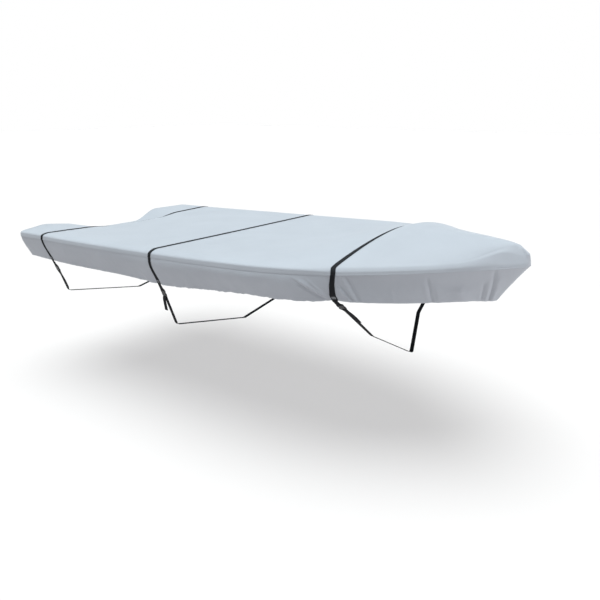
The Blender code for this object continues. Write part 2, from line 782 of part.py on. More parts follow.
def build():
    for old in list(bpy.data.objects):
        bpy.data.objects.remove(old, do_unlink=True)
    parts = bpy.data.collections.new("boat_cover")
    cutters = bpy.data.collections.new("cutters")
    for collection in (parts, cutters):
        bpy.context.scene.collection.children.link(collection)
    stations = side_stations()
    for made in (
        build_top_panel(stations),
        build_skirt("skirt_starboard", -1, stations, STARBOARD_FOLDS),
        build_skirt("skirt_port", 1, stations, PORT_FOLDS),
        build_stern_panel(),
    ):
        parts.objects.link(made)
    for number, x in enumerate(STRAP_X, 1):
        lines = [surface_line(x + side * STRAP_WIDTH / 2, -1) for side in (-1, 1)]
        port_lines = [surface_line(x + side * STRAP_WIDTH / 2, 1) for side in (-1, 1)]
        edges = [one + list(reversed(two))[1:] for one, two in zip(lines, port_lines)]
        pairs = lifted(list(zip(*edges)), STRAP_GAP)
        starboard = strap_end(pairs, STRAP_RUNS[number - 1])
        port = strap_end(pairs[::-1], STRAP_RUNS[number - 1])
        parts.objects.link(build_strap_top(number, pairs, starboard, port))
        parts.objects.link(build_strap_belly(number, starboard, port))
        build_buckle(number, starboard, parts, cutters)


build()
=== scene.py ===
"""The fitted boat cover as it looks: fine cloth with its folds, seams, hems and webbing straps."""

import math
from collections import namedtuple

import bmesh
import bpy
import numpy as np
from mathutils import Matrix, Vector, noise


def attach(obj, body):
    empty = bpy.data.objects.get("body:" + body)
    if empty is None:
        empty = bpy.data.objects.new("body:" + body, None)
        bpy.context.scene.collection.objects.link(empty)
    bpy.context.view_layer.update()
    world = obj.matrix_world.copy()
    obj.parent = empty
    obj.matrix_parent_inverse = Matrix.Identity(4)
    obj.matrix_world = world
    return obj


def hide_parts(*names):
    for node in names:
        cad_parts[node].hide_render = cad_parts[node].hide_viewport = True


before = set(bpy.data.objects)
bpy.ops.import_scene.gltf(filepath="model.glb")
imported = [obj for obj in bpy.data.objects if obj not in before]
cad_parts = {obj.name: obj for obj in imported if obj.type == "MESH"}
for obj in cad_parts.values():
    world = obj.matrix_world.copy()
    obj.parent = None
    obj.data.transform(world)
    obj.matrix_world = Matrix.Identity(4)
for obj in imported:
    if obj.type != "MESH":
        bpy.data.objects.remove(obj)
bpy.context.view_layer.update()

# The cover's own frame: x from the stern edge to the nose, y from starboard to port, z from the
# level of the stern corners, in metres. These sizes are the solids' own, apart from a few that are
# set for the look: the sag, the well's reach, the bend at the edge and the facets at the bow.
LENGTH = 3.80
HALF_BEAM = 0.912
STERN_HALF_BEAM = 0.896
STERN_TAPER = 1.60
OUTLINE_LENGTH = 3.8205
BOW_LENGTH = 1.5755
BOW_POWER = 2.113
HEM_LENGTH = 3.62
HEM_HALF_BEAM = 0.835
HEM_STERN_HALF_BEAM = 0.812
HEM_BOW_LENGTH = 1.30
HEM_BOW_POWER = 2.65
HEM_TAPER_START = 3.10
HEM_TAPER_POWER = 2.5
HEM_STERN_X = 0.012
HEM_CORNER = 0.020
EDGE_AT_STERN = 0.006
EDGE_SLOPE = 0.0335
EDGE_CURVE = 0.0008
SAG_REACH = 0.05  # how far in from the edge its sag reaches
# sag and port_sag are how far the edge hangs below its line on each side, crown the rise of the
# centre line over it, fullness the power of the cross-section, shoulder the steep band just inside
# the edge, and hem the height of the lower edge.
Station = namedtuple("Station", "x sag port_sag crown fullness shoulder hem")
STATIONS = (
    Station(0.00, 0.006, 0.004, 0.008, 2.0, 0.000, -0.205),
    Station(0.40, 0.009, 0.007, -0.018, 2.0, 0.000, -0.205),
    Station(0.80, 0.012, 0.008, -0.008, 2.0, 0.000, -0.195),
    Station(1.30, 0.0125, 0.008, 0.002, 2.0, 0.000, -0.182),
    Station(1.60, 0.0125, 0.008, -0.002, 2.0, 0.000, -0.184),
    Station(2.00, 0.010, 0.008, 0.002, 1.9, 0.000, -0.152),
    Station(2.40, 0.005, 0.008, 0.020, 1.8, 0.000, -0.115),
    Station(2.75, 0.005, 0.010, 0.081, 1.7, 0.000, -0.102),
    Station(2.88, 0.005, 0.010, 0.100, 1.65, 0.000, -0.092),
    Station(2.95, 0.004, 0.008, 0.121, 1.6, 0.000, -0.088),
    Station(3.02, 0.003, 0.005, 0.145, 1.6, 0.000, -0.089),
    Station(3.10, 0.002, 0.002, 0.158, 1.64, 0.000, -0.092),
    Station(3.20, 0.001, 0.001, 0.137, 1.64, 0.000, -0.096),
    Station(3.36, 0.000, 0.000, 0.121, 1.64, 0.000, -0.102),
    Station(3.50, 0.000, 0.000, 0.108, 1.7, 0.006, -0.108),
    Station(3.56, 0.000, 0.000, 0.101, 1.8, 0.022, -0.112),
    Station(3.61, 0.000, 0.000, 0.096, 1.9, 0.044, -0.116),
    Station(3.65, 0.000, 0.000, 0.092, 1.9, 0.060, -0.120),
    Station(3.69, 0.000, 0.000, 0.086, 1.8, 0.070, -0.124),
    Station(3.74, 0.000, 0.000, 0.074, 1.6, 0.074, -0.128),
    Station(3.80, 0.000, 0.000, 0.020, 1.4, 0.020, -0.130),
)

# The dip in the top at the stern.
WELL_DEPTH = 0.090
WELL_MIDDLE = 0.024
WELL_HALF_FLOOR = 0.219
WELL_HALF_WIDTH = 0.488
WELL_REACH = 0.281
WELL_FADE = 4.0
# Soft swells across the stern end of the top: place across, half width and height.
SWELLS = ((-0.68, 0.10, 0.016), (-0.42, 0.09, -0.014), (-0.19, 0.09, 0.008))
SWELL_REACH = 0.20
# The cut-up middle of the stern panel's hem.
NOTCH_HALF_WIDTH = 0.15
NOTCH_BLEND = 0.035
NOTCH_HEIGHT = 0.055

CLOTH = 0.0016
GAP = 0.0007  # between sheets that lie together
PANEL_END_GAP = 0.0005
DIAGONAL = 0.7  # share of it each way at a corner
MOUNT_X = 1.90
MOUNT_DEPTH = 0.002
# Places on the hollow side of the sheets.
UNDER_TOP = (MOUNT_X, 0, -0.3)
UNDER_EDGE = (MOUNT_X, 0, -0.1)
UNDER_STERN = (0.5, 0, -0.1)

# Small unevenness of the top: height, pitch and seed of its waves.
Wave = namedtuple("Wave", "height pitch seed")
TOP_BROAD = Wave(0.0022, 0.55, 3.7)
TOP_FINE = Wave(0.0005, 0.09, 9.1)
TOP_FINE_STRETCH = 0.6  # the fine waves run longer along the cover
TOP_FINE_EDGE = 0.75  # and grow towards its edge from this share of the half width
TOP_LEAST_HALF = 0.05
TOP_STILL_EDGE = 0.93  # from here out the unevenness fades, to meet the bend
STRAP_HOLD = 0.028  # how near to a strap the cloth lies still

# The bend at the edge, and the facet that it widens into at the bow.
ROLL = 0.022
FACET_LEAN = 0.048
FACET_SLOPE = 0.60
FACET_SLOPE_STARBOARD = 1.20  # the facet hangs lower on that side
FACET_TURN = (-0.5, 0.6)  # outward starboard share over which its slope changes
FACET_LIFT = 0.008
FACET_FLATNESS = 0.8
FACET_FLARE = 0.010  # how far the facet slopes out down to its seam
NOSE_FLARE_LOSS = 0.6  # the share of it that is lost at the nose
# Where the crease over the facet lies, as a share of the bend, by place along the cover.
FACET_CREASES = ((3.60, 0.68), (3.65, 0.40), (3.70, 0.29), (3.74, 0.46), (3.78, 0.78))
FACET_TOP_SLOPE = 0.62  # of the cloth above that crease
NOSE_TOP_SLOPE = 0.86  # the same at the nose
NOSE_START = 3.70
NOSE_LEAN = 0.30  # the starboard facet leans back at the nose: its crease moves in by this share
NOSE_LEAN_SLOPE = 0.40  # and the cloth above it falls by this much more
NOSE_LEAN_TURN = 0.6  # outward starboard share from which it leans fully
BLUNT = (0.6, 0.9)  # outward forward share from which the rim is the nose
BOW_DROP = 0.008  # how far the bend hangs lower forward of the third strap
BOW_DROP_BELLY = 0.8  # the share of it at the bend's lower end
BOW_DROP_RANGE = (2.80, 3.00)
ROUND_WEIGHT = 1.3  # a crisper bend than the solid's
CORNER_RISE = 0.003  # the least height of the bend's corner over its lower end
SLOPE_PROBE = 0.010
FACET_START = 3.50
FACET_END = 3.74
SEAM_DROP = 0.038
SEAM_TUCK = 0.002
SEAM_TUCK_POWER = 1.5
FLARE = 0.0032  # how far the bend stays inside its seam towards the bow
FLARE_AFT = 0.0040
FLARE_RANGE = (2.70, 3.05)
FLARE_TURN = (0.5, 0.8)  # outward sideways share from which the sides flare
FLARE_BOW = (3.4, 3.6)  # and places from which all of the rim does
LAP = 0.012
SPINE_PULL = 0.16
SPINE_PULL_START = 3.30

# The straps.
STRAP_X = (0.323, 1.595, 2.954)
STRAP_BOW = (0.0, 0.0, 0.013)  # how far aft the webbing bows on the starboard skirt
BOW_SHAPE = ((0.0, 0.0), (0.35, 0.8), (0.7, 1.0), (1.0, 0.4))  # from the seam down to the hem
STRAP_WIDTH = 0.030
WEBBING = 0.0016
# Where a strap bends under the hull, its lowest place, and its loose tail's length and its way
# sideways and outward.
StrapRun = namedtuple("StrapRun", "turn_y turn_z bottom_z bottom_shift tail tail_shift tail_lift")
STRAP_RUNS = (
    StrapRun(0.709, -0.477, -0.600, 0.00, 0.150, 0.026, 0.006),
    StrapRun(0.701, -0.508, -0.640, 0.00, 0.115, -0.026, 0.014),
    StrapRun(0.304, -0.412, -0.588, 0.12, 0.170, 0.028, 0.006),
)
TURN_RADIUS = 0.030
TURN_STEPS = 8
HEM_CLEARANCE = 0.004
SQUARE_DROP = 0.009
BAR_DROP = 0.046
BAR_SPACING = 0.056
BAR_TURN = 0.0030
BAR_STEPS = 12
BOW_FADE = 0.006  # the webbing has straightened this far above the upper bar
# Rows of the mesh between hem and upper bar: behind, up from the bar, and in front, down from
# the hem.
SEWN_RISES = (0.018, 0.024, 0.029, 0.034)
FRONT_DROPS = (0.038, 0.031, 0.024, 0.016, SQUARE_DROP, 0)
TAIL_STEPS = 15
TAIL_POWER = 0.6  # the loose tail turns sideways soon
BELLY_STEP = 0.02
# The webbing is widest where it is sewn double near each hem, and narrowest between the bends.
DOUBLE_WIDENING = 0.10
DOUBLE_START = 0.008
DOUBLE_END = (0.045, 0.065)
NARROWING = 0.16
NARROW_PLACE = 0.17
NARROW_REACH = 0.09
# Round the webbing's section: place across as a share of its width, a shift of that in units of
# WEBBING_EDGE, which rounds the edges, and height as a share of its thickness.
WEBBING_EDGE = 0.0006
WEBBING_SECTION = (
    (-0.5, 1, 0.0), (-0.18, 0, 0.0), (0.18, 0, 0.0), (0.5, -1, 0.0),
    (0.5, 0, 0.35), (0.5, -0.4, 0.8), (0.5, -2, 1.0), (0.2, 0, 1.08),
    (-0.2, 0, 1.08), (-0.5, 2, 1.0), (-0.5, 0.4, 0.8), (-0.5, 0, 0.35),
)
TACK_START = 0.0136  # stitch rows on the webbing, from the hem up
TACK_ROWS = 3
TACK_PITCH = 0.0068
TACK_WIDTH = 0.0030
TACK_INSET = 0.14  # share of the webbing's width that they leave free at each edge
PAST_STITCHES = 1.0  # a length along the webbing that has none
RIB_PITCH = 0.0022
CORDS = 14  # across the webbing
PORT_LAP_START = 0.014
PORT_LAP_END = 0.080

# Creases of the skirts: places along the outline at the seam and at the hem, where the crease
# begins and ends (0 at the seam, 1 at the hem), its width aft and forward of its crest, and its
# depth outward.
Crease = namedtuple("Crease", "head foot start end aft fore depth")
STARBOARD_CREASES = (
    # Pulls towards the buckle of the second strap.
    Crease(1.36, 1.52, 0.45, 1.1, 0.016, 0.030, 0.0045),
    Crease(1.82, 1.68, 0.55, 1.1, 0.030, 0.014, 0.0045),
    # The fan of pulls at the third strap.
    Crease(2.722, 2.945, 0.06, 0.98, 0.008, 0.022, 0.0115),
    Crease(2.700, 2.922, 0.08, 0.98, 0.014, 0.006, -0.0060),
    Crease(2.790, 2.945, 0.02, 0.75, 0.006, 0.010, 0.0040),
    Crease(2.918, 3.030, 0.04, 1.1, 0.006, 0.012, 0.0085),
    Crease(2.940, 3.048, 0.10, 1.1, 0.006, 0.006, -0.0055),
    Crease(2.992, 3.052, -0.2, 1.1, 0.008, 0.008, 0.0055),
    Crease(3.013, 3.072, -0.1, 1.1, 0.005, 0.009, -0.0065),
    # Short upright tucks further forward.
    Crease(3.215, 3.225, 0.45, 1.1, 0.016, 0.010, 0.0035),
    Crease(3.360, 3.378, 0.15, 1.1, 0.008, 0.010, 0.0035),
    Crease(3.383, 3.400, 0.05, 1.1, 0.006, 0.004, -0.0070),
    Crease(3.408, 3.428, 0.30, 1.1, 0.008, 0.040, 0.0050),
    Crease(3.505, 3.545, 0.42, 1.1, 0.060, 0.050, 0.0160),
    Crease(3.632, 3.668, 0.30, 1.1, 0.008, 0.005, -0.0070),
    Crease(3.650, 3.695, 0.25, 1.1, 0.009, 0.010, 0.0060),
    Crease(3.668, 3.726, -0.1, 1.1, 0.008, 0.005, -0.0085),
    Crease(3.690, 3.745, 0.1, 1.1, 0.010, 0.024, 0.0060),
)
PORT_CREASES = (
    Crease(1.30, 1.47, 0.40, 1.1, 0.016, 0.030, 0.0045),
    Crease(1.90, 1.73, 0.50, 1.1, 0.030, 0.014, 0.0042),
    Crease(2.600, 2.860, 0.14, 1.1, 0.010, 0.026, 0.0105),
    Crease(2.570, 2.830, 0.18, 1.1, 0.013, 0.008, -0.0046),
    Crease(3.000, 3.095, 0.08, 1.1, 0.010, 0.020, 0.0085),
    Crease(3.038, 3.120, 0.12, 1.1, 0.012, 0.008, -0.0060),
    Crease(3.290, 3.345, 0.25, 1.1, 0.012, 0.045, 0.0085),
    Crease(3.258, 3.305, 0.25, 1.1, 0.012, 0.007, -0.0070),
    Crease(3.600, 3.670, 0.25, 1.1, 0.013, 0.008, -0.0095),
    Crease(3.640, 3.705, 0.20, 1.1, 0.010, 0.032, 0.0085),
)
CREASE_BEGIN = 0.28  # shares of the skirt's height over which a crease grows and ends
CREASE_STOP = 0.2
CREASE_POWER = 1.6
RUFFLE_PITCH = 0.135
RUFFLE_SIZE = 0.0035
RUFFLE_RANGE = (1.2, 1.5, 2.6, 2.9)  # where the ruffles begin, are full, lessen and end
RUFFLE_TOP = 0.3  # share of the skirt's height where they begin
# Unevenness of the skirts: waves, and the shares of the height where they begin and are full.
SKIRT_WAVES = ((Wave(0.0024, 0.16, 0), 0.0, 0.3), (Wave(0.0008, 0.028, 3), 0.0, 0.1))
SKIRT_WAVE_HEIGHT = 0.20
SKIRT_SEED = 5.3
STERN_SEED = 8.8
HEM_BAND = 0.020  # height of the doubled hem
HEM_STEP = 0.0009  # how far it stands off the single cloth
HEM_STEP_BLEND = 0.008
HEM_ROWS = (-0.012, -0.004, 0.004, 0.012)  # rows of the mesh about the top of the hem
HEM_CURL = 0.0022  # how far its edge turns in
HEM_STAND = 0.0075  # how far the free skirt stands out at its hem
HEM_RUFFLED = (1.2, 1.9, 2.85, 3.1)  # where the hem begins to be ruffled, is, lessens and ends
HEM_RUFFLED_CURL = 0.7  # how much more the ruffled hem curls and stands out
HEM_RUFFLED_STAND = 0.5
HEM_PULL = 0.019  # how far the third strap draws the starboard hem in
HEM_PULL_WIDTH = 0.050
HEM_PULL_TOP = 0.64  # share of the skirt's height where that begins
HEM_PULL_POWER = 1.2
HEM_RIPPLE = Wave(0.0016, 0.035, 9)  # outward, in the lowest fifth of the skirt
HEM_RIPPLE_TOP = 0.8
HEM_WAVE = 0.0034  # up and down
HEM_WAVES = (Wave(1.0, 0.034, 17), Wave(0.5, 0.11, 23))
HEM_WAVE_STILL = 0.4  # share of it where the hem isn't ruffled
STITCH_DEPTH = 0.0005
STITCH_WIDTH = 0.003
# How far the skirts bulge out under the seam, by place along the cover; they hollow in at the bow.
BULGES = (
    (0.0, 0.006), (1.2, 0.010), (1.8, 0.019), (2.5, 0.018),
    (2.85, 0.008), (3.1, -0.005), (3.8, -0.004),
)

# Mesh steps.
TOP_STEP = 0.0130
SKIRT_STEP = 0.0060
ACROSS = 96
ROLL_STEPS = 9
BAND_ROWS = 6
SKIRT_ROWS = 34
NOSE_FAN = 16
CORNER_FAN = 10
LINE_PLACES = 600  # of the inner line
HALVINGS = 40  # in the search for its end
WELD = 0.00003

# Colours and light.
CLOTH_DARK = (0.345, 0.359, 0.396)
CLOTH_LIGHT = (0.365, 0.380, 0.418)
WEBBING_DARK = (0.003, 0.003, 0.004)
WEBBING_LIGHT = (0.011, 0.012, 0.015)
TACK_COLOUR = (0.30, 0.31, 0.33)
PLASTIC_DARK = (0.010, 0.010, 0.011)
PLASTIC_LIGHT = (0.020, 0.020, 0.022)
BUCKLE_BEVEL = 0.0006
WORLD_COLOUR = (0.20, 0.22, 0.23)
HORIZON = (0.145, 0.20)  # the backdrop turns from white to that colour between these heights
SUN_COLOUR = (0.915, 0.995, 1.0)
SUN_STRENGTH = 5.36
SUN_SPREAD = 60.0
SUN_WAY = (0.20, 0.03, -1.0)
LAMP_PLACE = (6.4, 1.9, 0.8)
LAMP_SIZE = 1.4
LAMP_POWER = 110
LAMP_COLOUR = (0.98, 0.99, 1.0)
FLOOR_SIZE = 80
FLOOR_HEIGHT = -1.10

# The photograph's view: focal length in pixels of its width, and the camera's place in the cover's
# own frame and its angles down and round.
PICTURE = 600
CAMERA_FOCAL = 673.5
SENSOR = 36
CAMERA_PLACE = (5.032, -3.732, 1.013)
CAMERA_TILT = 16.63
CAMERA_TURN = 37.68


def smooth(low, high, value):
    """0 up to low, 1 from high on, and a soft step between."""
    t = np.clip((np.asarray(value, float) - low) / (high - low), 0, 1)
    return t * t * (3 - 2 * t)


def there_and_back(places, value):
    """0 outside four places along the cover and 1 between the middle two."""
    return smooth(*places[:2], value) * (1 - smooth(*places[2:], value))


def column_curve(column):
    """A smooth curve through a column of STATIONS."""
    xs = np.array([row.x for row in STATIONS])
    values = np.array([getattr(row, column) for row in STATIONS])
    steps = np.diff(values) / np.diff(xs)
    product = steps[:-1] * steps[1:]
    total = np.where(product > 0, steps[:-1] + steps[1:], 1.0)
    slopes = np.zeros(len(xs))
    slopes[1:-1] = np.where(product > 0, 2 * product / total, 0.0)

    def value(x):
        x = np.clip(np.asarray(x, float), xs[0], xs[-1])
        i = np.clip(np.searchsorted(xs, x, side="right") - 1, 0, len(xs) - 2)
        h = xs[i + 1] - xs[i]
        t = (x - xs[i]) / h
        keep = (1 + 2 * t) * (1 - t) ** 2 * values[i] + t * t * (3 - 2 * t) * values[i + 1]
        return keep + h * (t * (1 - t) ** 2 * slopes[i] - t * t * (1 - t) * slopes[i + 1])

    return value


sag_at = column_curve("sag")
port_sag_at = column_curve("port_sag")
crown_at = column_curve("crown")
fullness_at = column_curve("fullness")
shoulder_at = column_curve("shoulder")
hem_height_at = column_curve("hem")


def half_beam(x):
    bow = np.clip(1 - (OUTLINE_LENGTH - x) / BOW_LENGTH, 0, 1)
    stern = np.clip(1 - x / STERN_TAPER, 0, None)
    return HALF_BEAM * (1 - bow**BOW_POWER) - (HALF_BEAM - STERN_HALF_BEAM) * stern**2


def hem_half_beam(x):
    bow = np.clip(1 - (HEM_LENGTH - x) / HEM_BOW_LENGTH, 0, 1)
    stern = np.clip(1 - x / STERN_TAPER, 0, None)
    narrowing = (HEM_HALF_BEAM - HEM_STERN_HALF_BEAM) * stern**2
    return HEM_HALF_BEAM * (1 - bow**HEM_BOW_POWER) - narrowing


def edge_line(x):
    return EDGE_AT_STERN + EDGE_SLOPE * x + EDGE_CURVE * x * x


def edge_sag(x, side):
    return np.where(np.asarray(side) < 0, sag_at(x), port_sag_at(x))


def edge_offset(x):
    return ROLL + FACET_LEAN * smooth(FACET_START, FACET_END, x)


def outward(x):
    step = 0.001
    slope = (half_beam(x + step) - half_beam(x - step)) / (2 * step)
    size = np.sqrt(1 + slope**2)
    return -slope / size, 1 / size


def inner_point(x):
    out_x, out_y = outward(x)
    offset = edge_offset(x)
    return x - out_x * offset, half_beam(x) - out_y * offset


def nose_station():
    low, high = FACET_END, OUTLINE_LENGTH
    for _ in range(HALVINGS):
        middle = (low + high) / 2
        if inner_point(middle)[1] > 0:
            low = middle
        else:
            high = middle
    return low


NOSE_X = nose_station()
TIP_X = float(inner_point(NOSE_X)[0])
LINE_X, LINE_Y = inner_point(np.linspace(ROLL, NOSE_X, LINE_PLACES))


def inner_half_beam(x):
    return np.interp(x, LINE_X, LINE_Y)


def well(x, y):
    across = 1 - smooth(WELL_HALF_FLOOR, WELL_HALF_WIDTH, np.abs(y - WELL_MIDDLE))
    along = np.clip((x - ROLL) / WELL_REACH, 0, None)
    return WELL_DEPTH * across * np.exp(-(along**WELL_FADE))


def swells(x, y):
    across = sum(rise * np.exp(-(((y - place) / width) ** 2)) for place, width, rise in SWELLS)
    return across * np.exp(-((x / SWELL_REACH) ** 2))


def top_height(x, y):
    """Height of the top's smooth outer face."""
    half = np.maximum(inner_half_beam(x), 1e-6)
    shoulder = shoulder_at(x)
    rise = crown_at(x) - shoulder
    across = np.clip(np.abs(y) / half, 0, 1) ** fullness_at(x)
    height = edge_line(x) + shoulder + rise * (1 - across) - well(x, y) + swells(x, y)
    near_edge = np.clip(1 - (half - np.abs(y)) / SAG_REACH, 0, 1)
    return height - edge_sag(x, y) * near_edge**2


MOUNT_Z = float(top_height(MOUNT_X, 0)) - MOUNT_DEPTH


def placed(points):
    """From the cover's own frame to the world's."""
    return np.asarray(points, float) - (MOUNT_X, 0, MOUNT_Z)


def strap_hold(x, drawn=0.0):
    """1 away from the straps and 0 where they hold the cloth. drawn is the share of their bow."""
    hold = np.ones_like(np.asarray(x, float))
    for strap, bow in zip(STRAP_X, STRAP_BOW):
        hold = hold * (1 - np.exp(-(((x - strap + bow * drawn) / STRAP_HOLD) ** 4)))
    return hold


def waves(x, y, seed, pitch, octaves=3):
    """Smooth uneven waves between about -1 and 1, each octave half as long and half as high."""
    flat_x, flat_y = np.broadcast_arrays(x, y)
    values = [
        noise.fractal(Vector((a / pitch, b / pitch, seed)), 1.0, 2.0, octaves)
        for a, b in zip(flat_x.ravel(), flat_y.ravel())
    ]
    return np.array(values).reshape(flat_x.shape)


def top_relief(x, y):
    """Small unevenness of the top, outward."""
    half = np.maximum(inner_half_beam(x), TOP_LEAST_HALF)
    near_edge = smooth(TOP_FINE_EDGE, 1.0, np.abs(y) / half)
    broad = TOP_BROAD.height * waves(x, y, TOP_BROAD.seed, TOP_BROAD.pitch)
    fine = TOP_FINE.height * waves(x * TOP_FINE_STRETCH, y, TOP_FINE.seed, TOP_FINE.pitch)
    return (broad + fine * (1 + near_edge)) * strap_hold(x)


# Places in order round the rim, as arrays: the inner line where the bend begins, the way outward,
# the bend's width, the heights of the edge and of the top there, the hem, and the place along.
Rim = namedtuple("Rim", "inner out offset edge level hem station")


def rim_of(inner_x, inner_y, out_x, out_y, offset, edge, hem, station):
    inner_x, inner_y, out_x, out_y, offset, edge, station = np.broadcast_arrays(
        inner_x, inner_y, out_x, out_y, offset, edge, station
    )
    level = top_height(inner_x, inner_y)
    inner = np.stack([inner_x, inner_y], 1)
    return Rim(inner, np.stack([out_x, out_y], 1), offset, edge, level, hem, station)


def joined(*rims):
    return Rim(*(np.concatenate(parts) for parts in zip(*rims)))


def backwards(rim):
    return Rim(*(part[::-1] for part in rim))


def part_of(rim, start, end):
    return Rim(*(part[start:end] for part in rim))


def hem_on_side(x, side):
    taper = np.clip((x - HEM_TAPER_START) / (LENGTH - HEM_TAPER_START), 0, None)
    hem_x = x - (LENGTH - HEM_LENGTH) * taper**HEM_TAPER_POWER
    hem_x = np.maximum(hem_x, HEM_STERN_X + HEM_CORNER)
    return np.stack([hem_x, side * hem_half_beam(hem_x), hem_height_at(x)], 1)


def side_rim(x, side):
    x = np.atleast_1d(np.asarray(x, float))
    inner_x, inner_y = inner_point(x)
    inner_x = np.where(x <= ROLL, ROLL, inner_x)
    out_x, out_y = outward(x)
    edge = edge_line(inner_x) - edge_sag(inner_x, side)
    hem = hem_on_side(x, side)
    return rim_of(inner_x, side * inner_y, out_x, side * out_y, edge_offset(x), edge, hem, x)


def nose_rim():
    last = side_rim(NOSE_X, -1)
    start = math.atan2(last.out[0, 1], last.out[0, 0])
    share = np.arange(1, 2 * NOSE_FAN) / NOSE_FAN - 1
    turn = start * -share
    hem_x = last.hem[0, 0] + (HEM_LENGTH - last.hem[0, 0]) * (1 - share**2)
    hem_z = np.full(len(share), last.hem[0, 2])
    hem = np.stack([hem_x, -last.hem[0, 1] * share, hem_z], 1)
    offset, edge = last.offset[0], last.edge[0]
    return rim_of(TIP_X, 0.0, np.cos(turn), np.sin(turn), offset, edge, hem, NOSE_X)


def corner_rim(side):
    first = side_rim(ROLL, side)
    turn = math.pi / 2 * np.arange(1, CORNER_FAN) / CORNER_FAN
    out_x, out_y = -np.sin(turn), side * np.cos(turn)
    hem_x = first.hem[0, 0] + out_x * HEM_CORNER
    hem_y = first.hem[0, 1] - side * HEM_CORNER + out_y * HEM_CORNER
    hem = np.stack([hem_x, hem_y, np.full(len(turn), first.hem[0, 2])], 1)
    x, y = first.inner[0]
    return rim_of(x, y, out_x, out_y, ROLL, first.edge[0], hem, ROLL)


def stern_rim(share):
    share = np.asarray(share, float)
    y = float(inner_point(ROLL)[1]) * share
    notch_edges = NOTCH_HALF_WIDTH - NOTCH_BLEND, NOTCH_HALF_WIDTH + NOTCH_BLEND
    notch = 1 - smooth(*notch_edges, np.abs(y))
    hem_y = (HEM_STERN_HALF_BEAM - HEM_CORNER) * share
    hem_z = STATIONS[0].hem + NOTCH_HEIGHT * notch
    hem = np.stack([np.full(len(y), HEM_STERN_X), hem_y, hem_z], 1)
    return rim_of(ROLL, y, -1.0, 0.0, ROLL, top_height(ROLL, y), hem, 0.0)


def rim_points(rim, distance, height):
    flat = rim.inner + rim.out * np.asarray(distance)[..., None]
    height = np.broadcast_to(height, flat[:, 0].shape)
    return np.column_stack([flat, height])


def blunt(rim):
    """1 across the nose and 0 along the sides."""
    return smooth(*BLUNT, rim.out[:, 0])


# fore is the share of the bow's drop, flare how far the bend stays inside its seam, belly and
# corner the heights of its lower end and its corner, fold and fold_level the place and height of
# the crease over it, top_slope the slope above that, and weight how crisp the bend is.
Bend = namedtuple("Bend", "fore flare belly corner fold fold_level top_slope weight")


def bend_of(rim):
    """The sizes of the top panel's bend at the rim."""
    starboard = -rim.out[:, 1]
    fore = smooth(*BOW_DROP_RANGE, rim.station) * (1 - blunt(rim))
    nose = smooth(NOSE_START, NOSE_X, rim.station)
    lean = (rim.offset - ROLL) / FACET_LEAN
    side = smooth(*FLARE_TURN, np.abs(starboard)) + smooth(*FLARE_BOW, rim.station)
    flare = FLARE_AFT + (FLARE - FLARE_AFT) * smooth(*FLARE_RANGE, rim.station)
    flare = flare * np.minimum(side, 1) * (1 - blunt(rim))
    flare = flare + FACET_FLARE * lean**2 * (1 - NOSE_FLARE_LOSS * nose)
    belly = np.minimum(rim.edge, rim.level) - ROLL + FACET_LIFT * lean**2 * (1 - nose)
    belly = belly - BOW_DROP_BELLY * BOW_DROP * fore * (1 - lean)

    behind = rim.inner - rim.out * SLOPE_PROBE
    slope = np.clip((top_height(behind[:, 0], behind[:, 1]) - rim.level) / SLOPE_PROBE, 0, 1)
    steep = FACET_SLOPE_STARBOARD - FACET_SLOPE
    facet = FACET_SLOPE + steep * smooth(*FACET_TURN, starboard)
    slope = slope + (facet - slope) * lean**3
    corner = rim.level - slope * rim.offset - BOW_DROP * fore * (1 - lean)

    leaning = nose * smooth(0.0, NOSE_LEAN_TURN, starboard)
    crease = np.interp(rim.station, *zip(*FACET_CREASES)) * (1 - NOSE_LEAN * leaning)
    fold = crease * lean * rim.offset
    top_slope = FACET_TOP_SLOPE + (NOSE_TOP_SLOPE - FACET_TOP_SLOPE) * nose
    top_slope = top_slope + NOSE_LEAN_SLOPE * leaning
    fold_level = rim.level - top_slope * fold
    corner = np.where(lean > 0, np.minimum(corner, fold_level), corner)
    corner = np.maximum(corner, belly + CORNER_RISE)
    weight = ROUND_WEIGHT * (1 - FACET_FLATNESS * lean)
    return Bend(fore, flare, belly, corner, fold, fold_level, top_slope, weight)


def edge_rows(rim):
    """The top panel's bend at the rim, from its seam edge up to the inner line."""
    bend = bend_of(rim)
    outer = rim.offset - bend.flare
    seam = rim.edge - SEAM_DROP
    rows = []
    for k in range(BAND_ROWS):
        share = k / BAND_ROWS
        tuck = SEAM_TUCK * (1 - share) ** SEAM_TUCK_POWER * (1 - bend.fore)
        distance = rim.offset - tuck - bend.flare * share
        rows.append(rim_points(rim, distance, seam + (bend.belly - seam) * share))
    for k in range(ROLL_STEPS + 1):
        t = k / ROLL_STEPS
        low, mid, high = (1 - t) ** 2, 2 * bend.weight * t * (1 - t), t * t
        total = low + mid + high
        height = (low * bend.belly + mid * bend.corner + high * bend.fold_level) / total
        rows.append(rim_points(rim, ((low + mid) * outer + high * bend.fold) / total, height))
    for share in (0.5, 0.0):
        distance = bend.fold * share
        rows.append(rim_points(rim, distance, rim.level - bend.top_slope * distance))
    return np.stack(rows, 1)


